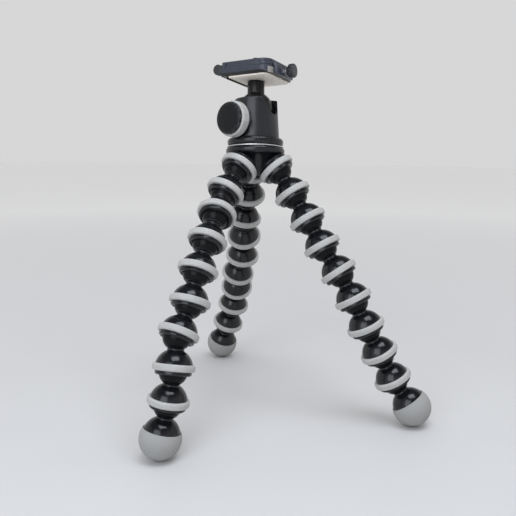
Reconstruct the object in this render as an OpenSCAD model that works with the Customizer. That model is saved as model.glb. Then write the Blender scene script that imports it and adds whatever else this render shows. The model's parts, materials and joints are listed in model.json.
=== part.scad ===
// Flexible leg tripod: three legs of ball-and-socket links under a ball head with a camera clamp.
// Millimetres, +Z up. The feet stand on Z = 0, and the origin is under the middle of their box.
// Seen from the front (looking along +Y) one leg stands to the left, one to the right, one behind.

/* [Leg links] */
// Radius of the ball on top of each link
ball_r = 9.5; // [8.5:0.1:10.5]
// Radial gap between a ball and the socket that holds it
ball_gap = 0.25; // [0.15:0.05:0.4]
// Flat cut on top of each ball, below the full radius
ball_flat = 1.2; // [0.5:0.1:2]
// Thinnest radius of the waist between ball and dome
waist_r = 5.5; // [4.5:0.1:6]
// Flare of the waist where it runs into ball and dome
waist_flare = 1; // [0.6:0.1:1.5]
// Height of the waist between ball and dome
waist_h = 2.4; // [2:0.1:4]
// How much larger the dome's radius is than the socket's
socket_wall = 2.75; // [2.4:0.05:3.5]
// Centre of the dome above the socket's centre
dome_rise = 2.2; // [1.5:0.1:3]
// How far the socket's lip reaches past the socket's centre
lip_drop = 2.3; // [1.8:0.1:3]
// Inward step from the dome to the lip
lip_step = 0.5; // [0.2:0.1:1]
// Bevel round the lip's lower edge
lip_bevel = 0.8; // [0.3:0.1:1]

/* [Grip rings] */
// How far a grip ring stands proud of the dome
ring_proud = 1.5; // [1:0.1:2.5]
// Width of a grip ring along its link
ring_w = 4.7; // [4:0.1:6.4]
// Centre of the ring above the socket's centre
ring_rise = 2.7; // [2:0.1:3.5]
// Wall left between the ring's groove and the socket
groove_wall = 1.2; // [0.8:0.1:1.5]
// Rounding of the ring's outer edges
ring_edge_r = 2; // [1:0.1:2.2]
// Gap between a ring and its groove
ring_gap = 0.05; // [0.03:0.01:0.1]

/* [Feet] */
// How much larger the rubber foot's radius is than the dome's
foot_wall = 1.5; // [1.2:0.05:2.5]
// Rim of the foot's cup above the centre of the foot
foot_rim = 5.2; // [4:0.1:6]
// Gap between the cup and the dome inside it
foot_gap = 0.05; // [0.03:0.01:0.1]

/* [Hub] */
// Distance of each socket's centre from the hub's axis
socket_reach = 18; // [17.6:0.1:22]
// Slant of each socket away from straight down
socket_slant = 40; // [32:1:45]
// Direction of the right leg, turned from +X
hub_turn = -16; // [-30:1:0]
// Lean of the hub and head towards +Y
hub_lean = 7; // [0:1:10]
// Radius of the core between the sockets
core_r = 12; // [10:0.5:13]
// Depth of the core below the sockets' centres
core_drop = 3; // [1:0.5:3.5]
// Rounding of the core's lower edge
core_edge_r = 3; // [1:0.5:3.5]
// Radius of the core's top, under the collar
core_top_r = 19.5; // [18:0.5:21]
// Height of the flare from the core to its top
flare_h = 10.5; // [8:0.5:12]
// Start of the flare above the sockets' centres
flare_z = 2; // [0:0.5:4]
// Radius of the collar
collar_r = 21.8; // [21:0.1:25]
// Thickness of the collar
collar_h = 5.3; // [4:0.1:7]
// Rounding of the collar's edges
collar_edge_r = 2.3; // [1:0.1:2.5]

/* [Pan joint] */
// Radius of the stud that holds the head on the hub
stud_r = 4.76; // [3.1:0.01:5]
// Running gap round the stud
stud_gap = 0.05; // [0.03:0.01:0.1]
// Length of the stud inside the hub
stud_depth = 12; // [9:0.5:14]
// Radius of the bright washer under the head
washer_r = 21; // [19:0.1:21]
// Thickness of that washer
washer_h = 0.7; // [0.4:0.1:1.2]
// Gap between the washer and the turning base
pan_gap = 0.1; // [0.05:0.01:0.2]
// Radius of the base's flange
flange_r = 20.8; // [19.5:0.1:21]
// Thickness of the base's flange
flange_h = 6; // [5:0.1:8]
// Rounding of the flange's edges
flange_edge_r = 2.6; // [1:0.1:2.8]

/* [Head housing] */
// Radius of the housing at its foot
housing_r = 17.7; // [17.5:0.1:19]
// Radius of the housing at its shoulder
shoulder_r = 15.8; // [15:0.1:17]
// Height of the shoulder above the housing's foot
shoulder_h = 28.4; // [26:0.2:29]
// Height of the ball's centre above the housing's foot
head_ball_rise = 21.4; // [21:0.2:22]
// Height of the housing's rim above the ball's centre
rim_rise = 8; // [7.6:0.1:9]
// Wall of the rim round the ball
rim_wall = 1.3; // [1:0.1:2.5]
// Radius of the head's ball
head_ball_r = 13; // [12.5:0.1:13.2]
// Gap between that ball and the housing
head_ball_gap = 0.3; // [0.2:0.05:0.4]
// Direction of the notch that the stem tilts into, turned from +X
notch_turn = -33; // [-60:1:0]
// Gap between the stem and each side of the notch
notch_gap = 1; // [0.3:0.1:1.4]
// Height of the centre of the notch's round bottom above the ball's centre
notch_rise = 2.6; // [1:0.1:3]
// How far each side of the notch flares out up to the rim
notch_flare = 2.4; // [1:0.1:3]

/* [Ball seat] */
// Radius of the cup that carries the ball
cup_r = 10.8; // [10:0.1:11]
// Gap between the cup and its bore
cup_gap = 0.15; // [0.05:0.05:0.3]
// Gap between the ball and its cup
seat_gap = 0.12; // [0.05:0.01:0.2]
// Height of the cup's top above the bore's floor
cup_top = 13.3; // [12.6:0.1:13.6]
// Thickness of the disc spring under the cup
spring_t = 0.8; // [0.5:0.1:1]
// Rise of the disc spring's cone
spring_rise = 1.2; // [0.8:0.1:1.6]
// Hole in the disc spring
spring_hole_r = 5.4; // [5.2:0.1:7]

/* [Lock knob] */
// Direction of the lock knob, turned from +X
knob_turn = 230; // [200:1:250]
// Height of the knob's axis above the housing's foot
knob_rise = 11.5; // [11:0.1:12]
// Radius of the screw on which the knob sits
lock_screw_r = 3; // [2.5:0.1:3.5]
// Running gap round that screw
lock_screw_gap = 0.06; // [0.03:0.01:0.1]
// Radius of the screw's dog point
dog_r = 1.4; // [1:0.1:1.6]
// Gap from the dog point to the cup
dog_gap = 0.15; // [0.1:0.05:0.3]
// Radius of the boss on the housing
boss_r = 8; // [6:0.1:9]
// Distance of the boss's face from the head's axis
boss_reach = 20.5; // [20:0.1:21]
// Gap between the boss and the knob
knob_gap = 0.6; // [0.3:0.1:1]
// Radius of the knob's grip ring
grip_r = 12.8; // [12:0.1:13]
// Width of the grip ring along the knob
grip_w = 7; // [6:0.1:8]
// Radius of the knob's cap
cap_r = 11.5; // [10.5:0.1:11.6]
// How far the cap's face stands past the grip ring
cap_proud = 2.6; // [1.5:0.1:3.5]
// Rounding of the cap's and grip's edges
knob_edge_r = 1.2; // [0.6:0.1:1.4]
// Radius of the spigot that carries the grip ring
spigot_r = 9.4; // [8:0.1:10]
// Gap between the grip ring and its spigot
grip_gap = 0.05; // [0.03:0.01:0.1]

/* [Stem and clamp] */
// Radius of the stem on the ball
stem_r = 6.3; // [5.8:0.1:6.5]
// Height of the clamp's underside above the ball's centre
stem_rise = 21; // [20.6:0.2:24]
// Radius of the stem's spigot in the clamp
stem_spigot_r = 4.2; // [3.6:0.1:5]
// Turn of the clamp about the stem
clamp_turn = -28; // [-40:1:20]
// Width of the clamp across its jaws
clamp_w = 42; // [40:1:48]
// Depth of the clamp along its channel
clamp_d = 42; // [40:1:48]
// Rounding of the clamp's upright corners beside the moving jaw
clamp_corner_r = 7; // [4:0.5:8]
// Thickness of the bare underplate
underplate_t = 1.2; // [0.8:0.1:1.5]
// Border of the clamp that shows round the underplate
underplate_border = 2; // [2:0.5:5]
// Thickness of the clamp's base
base_t = 5.6; // [5.4:0.1:6.4]
// Bevel along the base's lower front and rear edges
base_bevel = 2; // [1:0.1:2.5]
// Height of the jaws above the base
jaw_h = 2.4; // [2:0.1:3.5]
// Width of the jaws' flats on top
jaw_flat = 4; // [3:0.1:5]
// Radius of the bolt that holds the clamp on the stem
bolt_r = 2.5; // [2:0.1:3]
// Head radius of that bolt
bolt_head_r = 4.6; // [4:0.1:5]
// Height of that bolt's cone-shaped head
bolt_head_h = 2.2; // [1.5:0.1:2.4]
// Length of that bolt in the stem
bolt_depth = 9; // [6:0.5:12]
// Gap between seated pieces of the clamp
seat_clear = 0.05; // [0.03:0.01:0.1]

/* [Moving jaw] */
// Thickness of the jaw's outer wall
jaw_wall = 2.6; // [2:0.1:3.5]
// Gap between the jaw and the base
jaw_gap = 0.3; // [0.2:0.05:0.5]
// Travel of the jaw when it opens
jaw_travel = 2; // [1:0.1:2.4]
// Length of the jaw's outer wall along the clamp
jaw_len = 26; // [20:1:27]
// Height of the jaw's screw above the base's underside
jaw_screw_rise = 3.6; // [3:0.1:3.8]
// Radius of the jaw's screw
jaw_screw_r = 1.5; // [1.2:0.1:1.8]
// Running gap round that screw
jaw_screw_gap = 0.06; // [0.03:0.01:0.1]
// Length of that screw inside the base
jaw_screw_depth = 12; // [8:0.5:13]
// Radius of the thumb knob on that screw
thumb_r = 5; // [4:0.1:5.2]
// Thickness of the thumb knob
thumb_t = 5.6; // [4:0.1:6]
// Radius of the thumb knob's collar
thumb_collar_r = 3.2; // [2.5:0.1:4]
// Length of the thumb knob's collar
thumb_collar_t = 1.2; // [0.8:0.1:2]
// Rounding of the thumb knob's edges
thumb_edge_r = 1; // [0.5:0.1:1.2]
// Flutes round the thumb knob
thumb_flutes = 14; // [10:1:18]
// Radius of each flute
flute_r = 0.6; // [0.4:0.1:0.8]

/* [Spirit level] */
// Radius of the level's glass vial
vial_r = 2.8; // [2.2:0.1:3]
// Length of the vial that shows between its caps
vial_len = 24; // [20:1:26]
// Height of the level's axis above the clamp's underside
level_rise = 6.4; // [5.8:0.1:6.6]
// How far the level's axis stands out from the base's side
level_out = 2.5; // [2:0.1:2.8]
// Length of each end cap
level_cap_len = 5; // [4:0.5:7]
// Radius of the level's end caps
level_cap_r = 3.8; // [3.6:0.1:4]
// Rounding of the end caps
level_cap_edge_r = 1; // [0.4:0.1:1.5]
// Depth of the vial's ends in the caps
vial_seat = 2; // [1:0.1:3]

/* [Camera plate] */
// Gap between the plate's dovetail and the jaws
dovetail_gap = 0.25; // [0.2:0.05:0.4]
// Gap between the plate and the base under it
plate_gap = 0.15; // [0.1:0.05:0.3]
// Gap between the plate's top and the jaws
plate_lift = 0.25; // [0.2:0.05:0.4]
// Thickness of the plate above the jaws
plate_t = 1.6; // [1.4:0.1:2.4]
// Border of the clamp and the level that shows round the plate
plate_border = 0.3; // [0.2:0.1:1.5]
// Thickness of the rubber pad
pad_t = 0.8; // [0.6:0.1:1.5]
// Border of the plate that shows round the pad
pad_border = 1.6; // [1:0.1:4]
// Radius of the camera screw's thread, for a quarter inch socket
camera_screw_r = 3.175; // [3.175:0.1:4.8]
// Length of the camera screw above the pad
camera_screw_len = 5; // [4:0.1:6]
// Radius of the camera screw's neck below its thread
camera_neck_r = 2.5; // [2:0.1:2.8]
// Height above the pad where the thread starts
camera_neck_rise = 0.4; // [0.2:0.1:0.8]
// Gap between the camera screw's thread and the plate's hole
camera_screw_gap = 0.06; // [0.03:0.01:0.1]
// Radius of the camera screw's slotted head
camera_head_r = 7; // [6:0.1:8]
// Thickness of that head
camera_head_t = 1.5; // [1:0.1:1.7]
// Gap round that head in the plate
camera_head_gap = 0.2; // [0.1:0.05:0.4]
// Width of the coin slot in that head
coin_slot_w = 1.6; // [1:0.1:2]
// Depth of that coin slot
coin_slot_depth = 0.8; // [0.4:0.1:0.9]

/* [Hidden] */
$fn = 64;
RIGHT = 0;
LEFT = 1;
BACK = 2;
LEG_NAMES = ["right", "left", "back"];
// Lean from straight down and turn about the vertical of each link, as the legs were left bent
LINK_LEANS = [
    [36, 34, 32, 36, 30, 25, 28, 28, 36],
    [42, 50, 40, 34, 28, 35, 18, 12, 15],
    [34, 26, 42, 32, 38, 46, 28, 26, 26]
];
LINK_TURNS = [
    [-12, -12, -12, -8, -6, 8, 18, 12, 0],
    [8, 30, 22, 20, 20, 14, 30, -10, -10],
    [-5, 5, -15, -5, 5, -10, 8, 20, 20]
];
LINKS = len(LINK_LEANS[0]);
LEG_TURNS = [hub_turn, hub_turn + 240, hub_turn + 120];

socket_r = ball_r + ball_gap;
dome_r = socket_r + socket_wall;
waist_top_r = waist_r + waist_flare;
link_pitch = chord(ball_r, waist_top_r) + waist_h + chord(dome_r, waist_top_r) + dome_rise;
foot_r = dome_r + foot_wall;
ring_r = dome_r + ring_proud;
groove_r = socket_r + groove_wall;
mouth_r = chord(socket_r, lip_drop);

collar_z = flare_z + flare_h;
washer_z = collar_z + collar_h;
flange_z = washer_z + washer_h + pan_gap;
housing_z = flange_z + flange_h;
head_ball_z = housing_z + head_ball_rise;
head_cavity_r = head_ball_r + head_ball_gap;
rim_r = chord(head_cavity_r, rim_rise) + rim_wall;
notch_half = stem_r + notch_gap;
cup_bore_r = cup_r + cup_gap;
knob_z = housing_z + knob_rise;
knob_reach = boss_reach + knob_gap;

base_z = stem_rise + underplate_t;
jaw_z = base_z + base_t;
plate_z = jaw_z + jaw_h + plate_lift;
pad_z = plate_z + plate_t;
pad_top_z = pad_z + pad_t;
jaw_screw_z = base_z + jaw_screw_rise;
jaw_x = clamp_w / 2 + jaw_gap;
thumb_x = jaw_x + jaw_wall + jaw_travel + jaw_gap;
level_x = -clamp_w / 2;
level_z = stem_rise + level_rise;
level_len = vial_len + 2 * level_cap_len;
level_y = (level_len - clamp_d) / 2;
dovetail_top = clamp_w / 2 - level_cap_r - jaw_flat;
plate_left = level_x + level_cap_r + plate_border;

// Half the chord that a circle of radius r keeps at a distance d from its centre
function chord(r, d) = sqrt(r * r - d * d);

// Height on the axis of the sphere that passes through radius ra at za and radius rb at zb
function sphere_z(ra, za, rb, zb) = (zb * zb + rb * rb - za * za - ra * ra) / (2 * (zb - za));

// Leg pose: each foot reaches the floor by one equal change of all its links' leans
function sum(list, i = 0) = i < len(list) ? list[i] + sum(list, i + 1) : 0;
function drop(leg) = link_pitch * sum([for (lean = LINK_LEANS[leg]) cos(lean)]);
function spread(leg) = link_pitch * sum([for (lean = LINK_LEANS[leg]) sin(lean)]);
function leaned(v) = [
    v.x,
    v.y * cos(hub_lean) + v.z * sin(hub_lean),
    v.z * cos(hub_lean) - v.y * sin(hub_lean)
];
function socket_at(leg) = leaned(socket_reach * [cos(LEG_TURNS[leg]), sin(LEG_TURNS[leg]), 0]);
hub_z = foot_r + sum([for (leg = [RIGHT:BACK]) drop(leg) - socket_at(leg).z]) / len(LEG_NAMES);
function reach_down(leg) = hub_z + socket_at(leg).z - foot_r;
function lean_trim(leg) =
    acos(reach_down(leg) / norm([drop(leg), spread(leg)])) - atan2(spread(leg), drop(leg));
function link_lean(leg, i) = LINK_LEANS[leg][i] + lean_trim(leg);
function link_turn(leg, i) = LEG_TURNS[leg] + LINK_TURNS[leg][i];
function link_way(leg, i) = [
    sin(link_lean(leg, i)) * cos(link_turn(leg, i)),
    sin(link_lean(leg, i)) * sin(link_turn(leg, i)),
    -cos(link_lean(leg, i))
];
function pivot(leg, i) = i == 0 ? socket_at(leg) : pivot(leg, i - 1) + link_pitch * link_way(leg, i - 1);
FEET = [for (leg = [RIGHT:BACK]) pivot(leg, LINKS)];
hub_at = [
    -(min([for (f = FEET) f.x]) + max([for (f = FEET) f.x])) / 2,
    -(min([for (f = FEET) f.y]) + max([for (f = FEET) f.y])) / 2,
    hub_z
];

// Places: each sub-assembly is drawn in its own frame and set in the shared one
module in_hub() {
    translate(hub_at) rotate([-hub_lean, 0, 0]) children();
}

module at_sockets() {
    for (turn = LEG_TURNS) {
        rotate([0, 0, turn])
            translate([socket_reach, 0, 0])
                rotate([0, 180 - socket_slant, 0])
                    children();
    }
}

module on_link(leg, i) {
    translate(hub_at + pivot(leg, i))
        rotate([0, 180 - link_lean(leg, i), link_turn(leg, i)])
            children();
}

module in_knob() {
    in_hub() translate([0, 0, knob_z]) rotate([0, 90, knob_turn]) children();
}

module in_clamp() {
    in_hub() translate([0, 0, head_ball_z]) rotate([0, 0, clamp_turn]) children();
}

module in_jaw_screw() {
    in_clamp() translate([0, 0, jaw_screw_z]) rotate([0, 90, 0]) children();
}

// Plain forms that several pieces share
// A slab of the right half plane, from the axis to a radius r and from z = lo to z = hi
module slab(r, lo, hi) {
    translate([0, lo]) square([r, hi - lo]);
}

// A disc's half profile from z = 0 to h, with its outer edges rounded
module round_disc(r, h, edge) {
    slab(r - edge, 0, h);
    slab(r, edge, h - edge);
    for (z = [edge, h - edge]) {
        translate([r - edge, z]) circle(edge);
    }
}

module round_rect(w, d, r) {
    square([w - 2 * r, d], center = true);
    square([w, d - 2 * r], center = true);
    for (x = [-1, 1], y = [-1, 1]) {
        translate([x * (w / 2 - r), y * (d / 2 - r)]) circle(r);
    }
}

// Leg pieces, drawn with the ball's centre at the origin and the link along +Z
// The upper part of the dome, down to z = lo; the socket's or the foot's centre lies at the origin
module dome_profile(lo) {
    intersection() {
        translate([0, -dome_rise]) circle(dome_r);
        slab(dome_r, -dome_rise - dome_r, lo);
    }
}

// The dome and lip round a socket, before its cuts
module socket_profile() {
    ring_lo = -ring_rise + ring_w / 2;
    lip_r = dome_r - lip_step;
    dome_profile(ring_lo);
    polygon([
        [0, ring_lo],
        [lip_r, ring_lo],
        [lip_r, lip_drop - lip_bevel],
        [lip_r - lip_bevel, lip_drop],
        [0, lip_drop]
    ]);
}

// The ball's space, its mouth and the grip ring's groove, about the socket's centre
module socket_cuts() {
    intersection() {
        circle(socket_r);
        slab(socket_r, -socket_r, lip_drop);
    }
    slab(mouth_r, lip_drop, dome_r);
    translate([groove_r, -ring_rise - ring_w / 2]) square([ring_r + ring_gap - groove_r, ring_w]);
}

// A grip ring's section, about the socket's centre
module ring_profile() {
    half = ring_w / 2 - ring_gap;
    translate([0, -ring_rise]) difference() {
        translate([0, -half]) round_disc(ring_r, 2 * half, ring_edge_r);
        slab(groove_r + ring_gap, -half, half);
    }
}

// The ball and the hollow-sided waist that joins it to a dome
module ball_profile() {
    waist_lo = chord(ball_r, waist_top_r);
    hollow_r = (waist_h * waist_h / 4 + waist_flare * waist_flare) / (2 * waist_flare);
    intersection() {
        circle(ball_r);
        slab(ball_r, ball_flat - ball_r, ball_r);
    }
    difference() {
        slab(waist_top_r, 0, waist_lo + waist_h);
        translate([waist_r + hollow_r, waist_lo + waist_h / 2]) circle(hollow_r);
    }
}

module link_solid() {
    rotate_extrude() {
        difference() {
            ball_profile();
            translate([0, link_pitch]) circle(socket_r);
        }
        translate([0, link_pitch]) difference() {
            socket_profile();
            socket_cuts();
        }
    }
}

module grip_ring() {
    color("lightgray") rotate_extrude() ring_profile();
}

module leg_link(leg, i) {
    on_link(leg, i) {
        color("#17181b") link_solid();
        translate([0, 0, link_pitch]) grip_ring();
    }
}

module foot_link(leg) {
    color("#17181b") on_link(leg, LINKS - 1) rotate_extrude() {
        ball_profile();
        translate([0, link_pitch]) dome_profile(dome_r - dome_rise);
    }
}

module foot_cup(leg) {
    rim_inner = chord(dome_r + foot_gap, foot_rim - dome_rise);
    rim_outer = chord(foot_r, foot_rim);
    color("darkgray") on_link(leg, LINKS - 1) translate([0, 0, link_pitch]) rotate_extrude() {
        difference() {
            intersection() {
                circle(foot_r);
                slab(foot_r, -foot_rim, foot_r);
            }
            translate([0, -dome_rise]) circle(dome_r + foot_gap);
        }
        translate([(rim_inner + rim_outer) / 2, -foot_rim]) circle((rim_outer - rim_inner) / 2);
    }
}

// Hub pieces, drawn with the sockets' centres on Z = 0
module core_profile() {
    flare_w = core_top_r - core_r;
    flare_r = (flare_w * flare_w + flare_h * flare_h) / (2 * flare_w);
    difference() {
        slab(core_top_r, flare_z, collar_z);
        translate([core_r + flare_r, flare_z]) circle(flare_r);
    }
    slab(core_r, core_edge_r - core_drop, flare_z);
    slab(core_r - core_edge_r, -core_drop, flare_z);
    translate([core_r - core_edge_r, core_edge_r - core_drop]) circle(core_edge_r);
}

module hub_core() {
    color("#17181b") in_hub() difference() {
        union() {
            rotate_extrude() core_profile();
            at_sockets() rotate_extrude() socket_profile();
        }
        at_sockets() rotate_extrude() socket_cuts();
        translate([0, 0, collar_z]) cylinder(h = dome_r, r = 2 * collar_r);
        translate([0, 0, collar_z - stud_depth]) cylinder(h = 2 * stud_depth, r = stud_r + stud_gap);
    }
}

module hub_rings() {
    in_hub() at_sockets() grip_ring();
}

module hub_collar() {
    color("#1d1e21") in_hub() translate([0, 0, collar_z]) difference() {
        rotate_extrude() round_disc(collar_r, collar_h, collar_edge_r);
        cylinder(h = 3 * collar_h, r = stud_r + stud_gap, center = true);
    }
}

module head_stud() {
    color("silver") in_hub() translate([0, 0, collar_z - stud_depth]) {
        cylinder(h = stud_depth + housing_z - collar_z, r = stud_r);
    }
}

module pan_washer() {
    color("gainsboro") in_hub() translate([0, 0, washer_z]) difference() {
        cylinder(h = washer_h, r = washer_r);
        cylinder(h = 3 * washer_h, r = stud_r + stud_gap, center = true);
    }
}

// Head pieces
module pan_base() {
    color("#2b2c2e") in_hub() translate([0, 0, flange_z]) difference() {
        rotate_extrude() round_disc(flange_r, flange_h, flange_edge_r);
        cylinder(h = 3 * flange_h, r = stud_r + stud_gap, center = true);
    }
}

// The housing's outer half profile, with the ball's centre at the origin
module housing_profile() {
    foot = -head_ball_rise;
    shoulder = foot + shoulder_h;
    crown_z = sphere_z(shoulder_r, shoulder, rim_r, rim_rise);
    crown_r = norm([shoulder_r, shoulder - crown_z]);
    polygon([[0, foot], [housing_r, foot], [shoulder_r, shoulder], [0, shoulder]]);
    intersection() {
        translate([0, crown_z]) circle(crown_r);
        slab(crown_r, shoulder, rim_rise);
    }
}

// The notch above its round bottom, wider towards the rim
module notch_flanks() {
    top_half = notch_half + notch_flare;
    polygon([
        [-notch_half, notch_rise],
        [notch_half, notch_rise],
        [top_half, rim_rise],
        [top_half, 2 * rim_rise],
        [-top_half, 2 * rim_rise],
        [-top_half, rim_rise]
    ]);
}

module head_housing() {
    color("#3d3f42") in_hub() translate([0, 0, head_ball_z]) difference() {
        union() {
            rotate([0, 0, notch_turn]) rotate_extrude() housing_profile();
            translate([0, 0, knob_z - head_ball_z]) rotate([0, 90, knob_turn]) {
                cylinder(h = boss_reach, r = boss_r);
            }
        }
        sphere(head_cavity_r);
        translate([0, 0, -head_ball_rise]) cylinder(h = head_ball_rise, r = cup_bore_r);
        rotate([90, 0, notch_turn + 90]) linear_extrude(2 * housing_r) {
            translate([0, notch_rise]) circle(notch_half);
            notch_flanks();
        }
        translate([0, 0, knob_z - head_ball_z]) rotate([0, 90, knob_turn]) {
            cylinder(h = 2 * boss_reach, r = lock_screw_r + lock_screw_gap);
        }
    }
}

module ball_cup() {
    cup_lo = spring_t + spring_rise;
    color("whitesmoke") in_hub() translate([0, 0, housing_z]) difference() {
        translate([0, 0, cup_lo]) cylinder(h = cup_top - cup_lo, r = cup_r);
        translate([0, 0, head_ball_rise]) sphere(head_ball_r + seat_gap);
    }
}

module disc_spring() {
    color("silver") in_hub() translate([0, 0, housing_z]) rotate_extrude() polygon([
        [cup_r, 0],
        [cup_r, spring_t],
        [spring_hole_r, spring_t + spring_rise],
        [spring_hole_r, spring_rise]
    ]);
}

// Lock knob pieces, drawn along +Z of the knob's frame, which points out from the head's axis
module lock_screw() {
    tip = cup_r + dog_gap;
    shank = head_cavity_r;
    color("silver") in_knob() {
        translate([0, 0, tip]) cylinder(h = knob_reach + grip_w - tip, r = dog_r);
        translate([0, 0, shank]) cylinder(h = knob_reach + grip_w - shank, r = lock_screw_r);
    }
}

module lock_knob_cap() {
    color("#26272a") in_knob() translate([0, 0, knob_reach]) difference() {
        union() {
            cylinder(h = grip_w, r = spigot_r);
            translate([0, 0, grip_w]) rotate_extrude() {
                slab(cap_r, 0, cap_proud - knob_edge_r);
                slab(cap_r - knob_edge_r, 0, cap_proud);
                translate([cap_r - knob_edge_r, cap_proud - knob_edge_r]) circle(knob_edge_r);
            }
        }
        translate([0, 0, -grip_w]) cylinder(h = 2 * grip_w, r = lock_screw_r + seat_clear);
    }
}

module lock_knob_grip() {
    color("darkgray") in_knob() translate([0, 0, knob_reach]) difference() {
        rotate_extrude() round_disc(grip_r, grip_w - grip_gap, knob_edge_r);
        cylinder(h = 3 * grip_w, r = spigot_r + grip_gap, center = true);
    }
}

// Clamp pieces, drawn with the ball's centre at the origin and the channel along Y
module ball_stem() {
    color("#1b1c1f") in_clamp() difference() {
        union() {
            sphere(head_ball_r);
            cylinder(h = stem_rise, r = stem_r);
            cylinder(h = base_z, r = stem_spigot_r);
        }
        translate([0, 0, base_z - bolt_depth]) cylinder(h = 2 * bolt_depth, r = bolt_r + seat_clear);
    }
}

module clamp_underplate() {
    left = level_x + level_cap_r + underplate_border / 2;
    right = clamp_w / 2 - underplate_border;
    color("#b5aca0") in_clamp() translate([0, 0, stem_rise]) difference() {
        translate([(left + right) / 2, 0, 0]) linear_extrude(underplate_t) {
            round_rect(right - left, clamp_d - 2 * underplate_border, clamp_corner_r - underplate_border);
        }
        cylinder(h = 3 * underplate_t, r = stem_spigot_r + seat_clear, center = true);
    }
}

// The clamp's outline from above, drawn in by a border, from a left edge to its rounded right corners
module clamp_outline(left, border) {
    right = clamp_w / 2 - border;
    d = clamp_d / 2 - border;
    r = clamp_corner_r - border;
    translate([left, -d]) square([right - r - left, 2 * d]);
    translate([left, r - d]) square([right - left, 2 * (d - r)]);
    for (side = [-1, 1]) {
        translate([right - r, side * (d - r)]) circle(r);
    }
}

// The flank of the left jaw and the floor, seen along the channel
module base_profile() {
    left = level_x + level_out;
    polygon([
        [left, base_z],
        [clamp_w / 2, base_z],
        [clamp_w / 2, jaw_z],
        [-dovetail_top - jaw_h, jaw_z],
        [-dovetail_top, jaw_z + jaw_h],
        [left, jaw_z + jaw_h]
    ]);
}

module clamp_base() {
    color("#34383f") in_clamp() difference() {
        intersection() {
            rotate([90, 0, 0]) linear_extrude(clamp_d, center = true) base_profile();
            linear_extrude(2 * plate_z) clamp_outline(level_x, 0);
        }
        for (side = [-1, 1]) {
            translate([0, side * clamp_d / 2, base_z]) rotate([45, 0, 0]) {
                cube([2 * clamp_w, base_bevel * sqrt(2), base_bevel * sqrt(2)], center = true);
            }
        }
        translate([level_x, level_y, level_z]) rotate([90, 0, 0]) {
            cylinder(h = level_len + 2 * seat_clear, r = level_cap_r + seat_clear, center = true);
        }
        translate([0, 0, jaw_z - bolt_head_h]) {
            cylinder(h = bolt_head_h, r1 = bolt_r + seat_clear, r2 = bolt_head_r + seat_clear);
        }
        cylinder(h = 2 * plate_z, r = bolt_r + seat_clear);
        translate([clamp_w / 2 - jaw_screw_depth, 0, jaw_screw_z]) rotate([0, 90, 0]) {
            cylinder(h = clamp_w, r = jaw_screw_r + jaw_screw_gap);
        }
    }
}

module clamp_bolt() {
    color("silver") in_clamp() {
        translate([0, 0, base_z - bolt_depth]) cylinder(h = bolt_depth + base_t, r = bolt_r);
        translate([0, 0, jaw_z - bolt_head_h]) cylinder(h = bolt_head_h, r1 = bolt_r, r2 = bolt_head_r);
    }
}

module in_level() {
    in_clamp() translate([level_x, level_y, level_z]) rotate([90, 0, 0]) children();
}

module level_vial() {
    color("#d8e84a") in_level() cylinder(h = vial_len + 2 * vial_seat, r = vial_r, center = true);
}

module level_caps() {
    color("#1d1e21") in_level() for (side = [0, 180]) {
        rotate([side, 0, 0]) translate([0, 0, vial_len / 2]) difference() {
            rotate_extrude() round_disc(level_cap_r, level_cap_len, level_cap_edge_r);
            cylinder(h = 2 * (vial_seat + seat_clear), r = vial_r + seat_clear, center = true);
        }
    }
}

// The jaw's lip over the base, seen along the channel
module lip_profile() {
    polygon([
        [dovetail_top, jaw_z + jaw_h],
        [dovetail_top + jaw_h - jaw_gap, jaw_z + jaw_gap],
        [clamp_w / 2, jaw_z + jaw_gap],
        [clamp_w / 2, jaw_z + jaw_h]
    ]);
}

// The jaw's outer wall, with the web that joins it to the lip
module wall_profile() {
    web_x = clamp_w / 2 - jaw_gap;
    polygon([
        [jaw_x, base_z],
        [jaw_x + jaw_wall, base_z],
        [jaw_x + jaw_wall, jaw_z + jaw_h],
        [web_x, jaw_z + jaw_h],
        [web_x, jaw_z + jaw_gap],
        [jaw_x, jaw_z + jaw_gap]
    ]);
}

module moving_jaw() {
    color("#2c2f34") in_clamp() difference() {
        union() {
            intersection() {
                rotate([90, 0, 0]) linear_extrude(clamp_d, center = true) lip_profile();
                linear_extrude(2 * plate_z) clamp_outline(level_x, 0);
            }
            rotate([90, 0, 0]) linear_extrude(jaw_len, center = true) wall_profile();
        }
        translate([0, 0, jaw_screw_z]) rotate([0, 90, 0]) {
            cylinder(h = clamp_w, r = jaw_screw_r + jaw_screw_gap);
        }
    }
}

module jaw_screw() {
    start = clamp_w / 2 - jaw_screw_depth + jaw_gap;
    color("silver") in_jaw_screw() translate([0, 0, start]) {
        cylinder(h = thumb_x + thumb_t / 2 - start, r = jaw_screw_r);
    }
}

module jaw_knob() {
    color("#1d1e21") in_jaw_screw() translate([0, 0, thumb_x]) difference() {
        union() {
            cylinder(h = thumb_collar_t, r = thumb_collar_r);
            translate([0, 0, thumb_collar_t]) {
                rotate_extrude() round_disc(thumb_r, thumb_t - thumb_collar_t, thumb_edge_r);
            }
        }
        cylinder(h = thumb_t, r = jaw_screw_r + seat_clear, center = true);
        for (i = [1:thumb_flutes]) {
            rotate([0, 0, i * 360 / thumb_flutes]) translate([thumb_r, 0, 0]) {
                cylinder(h = 3 * thumb_t, r = flute_r, center = true);
            }
        }
    }
}

// The plate's dovetail, seen along the channel
module dovetail_profile() {
    top = dovetail_top - dovetail_gap;
    bottom = top + jaw_h - plate_gap;
    polygon([
        [-bottom, jaw_z + plate_gap],
        [bottom, jaw_z + plate_gap],
        [top, jaw_z + jaw_h],
        [top, plate_z + plate_t / 2],
        [-top, plate_z + plate_t / 2],
        [-top, jaw_z + jaw_h]
    ]);
}

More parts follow.
